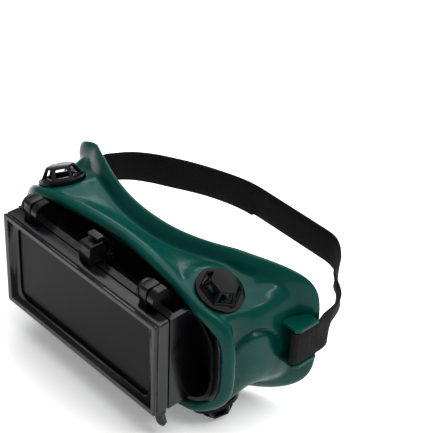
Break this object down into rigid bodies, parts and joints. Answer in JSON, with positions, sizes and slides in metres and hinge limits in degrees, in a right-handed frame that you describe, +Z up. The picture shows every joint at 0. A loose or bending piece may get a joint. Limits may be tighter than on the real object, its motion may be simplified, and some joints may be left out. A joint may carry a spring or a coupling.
{
  "type": "flip-front welding goggles",
  "caption": "Welding goggles: soft moulded mask with indirect vents, a fixed lens box, a hinged flip-up shade frame and an elastic head strap.",
  "frame": {"origin": "centre of the flip frame's front rim", "axes": "+X to the wearer's left across the lens, +Y back towards the face, +Z up"},
  "size_m": [0.1857, 0.1387, 0.0917],
  "materials": {
    "soft_mask": "soft moulded vinyl with a satin sheen",
    "black_gloss": "glossy moulded nylon",
    "black_matte": "fine matte moulded nylon",
    "clear_plate": "clear polished plate",
    "shade": "dark polished shade plate",
    "gasket": "soft black foam rubber",
    "steel": "plain steel pin",
    "webbing": "woven elastic"
  },
  "bodies": {
    "mask": {"mask_body": "soft_mask", "fixed_frame": "black_gloss", "clear_lens": "clear_plate", "lens_gasket": "gasket", "lens_retainer": "black_matte", "hinge_washer_left": "black_matte", "hinge_washer_right": "black_matte", "hinge_pin_left": "steel", "hinge_pin_right": "steel", "latch_pin": "steel", "vent_seat_top_left": "black_matte", "vent_seat_top_right": "black_matte", "vent_seat_bottom_left": "black_matte", "vent_seat_bottom_right": "black_matte", "vent_cap_top_left": "black_gloss", "vent_cap_top_right": "black_gloss", "vent_cap_bottom_left": "black_gloss", "vent_cap_bottom_right": "black_gloss", "head_strap": "webbing"},
    "flip": {"flip_frame": "black_gloss", "cover_plate": "clear_plate", "shade_plate": "shade", "flip_retainer": "black_matte", "hinge_block_left": "black_matte", "hinge_block_right": "black_matte", "latch_block": "black_matte", "lift_tab": "black_matte"},
    "latch": {"latch_lever": "black_matte"},
    "slider": {"strap_slider": "black_matte"}
  },
  "joints": [
    {"name": "flip_hinge", "type": "hinge", "parent": "mask", "child": "flip", "pos_m": [0, 0.011, 0.0345], "axis": [-1, 0, 0], "range_deg": [0, 105]},
    {"name": "latch_pivot", "type": "hinge", "parent": "mask", "child": "latch", "pos_m": [0, 0.0184, 0.029], "axis": [-1, 0, 0], "range_deg": [0, 10], "stiffness_Nm_per_rad": 0.02, "springref_deg": -11.46},
    {"name": "strap_slide", "type": "slide", "parent": "mask", "child": "slider", "axis": [0, 1, 0], "range_m": [0, 0.003]}
  ]
}
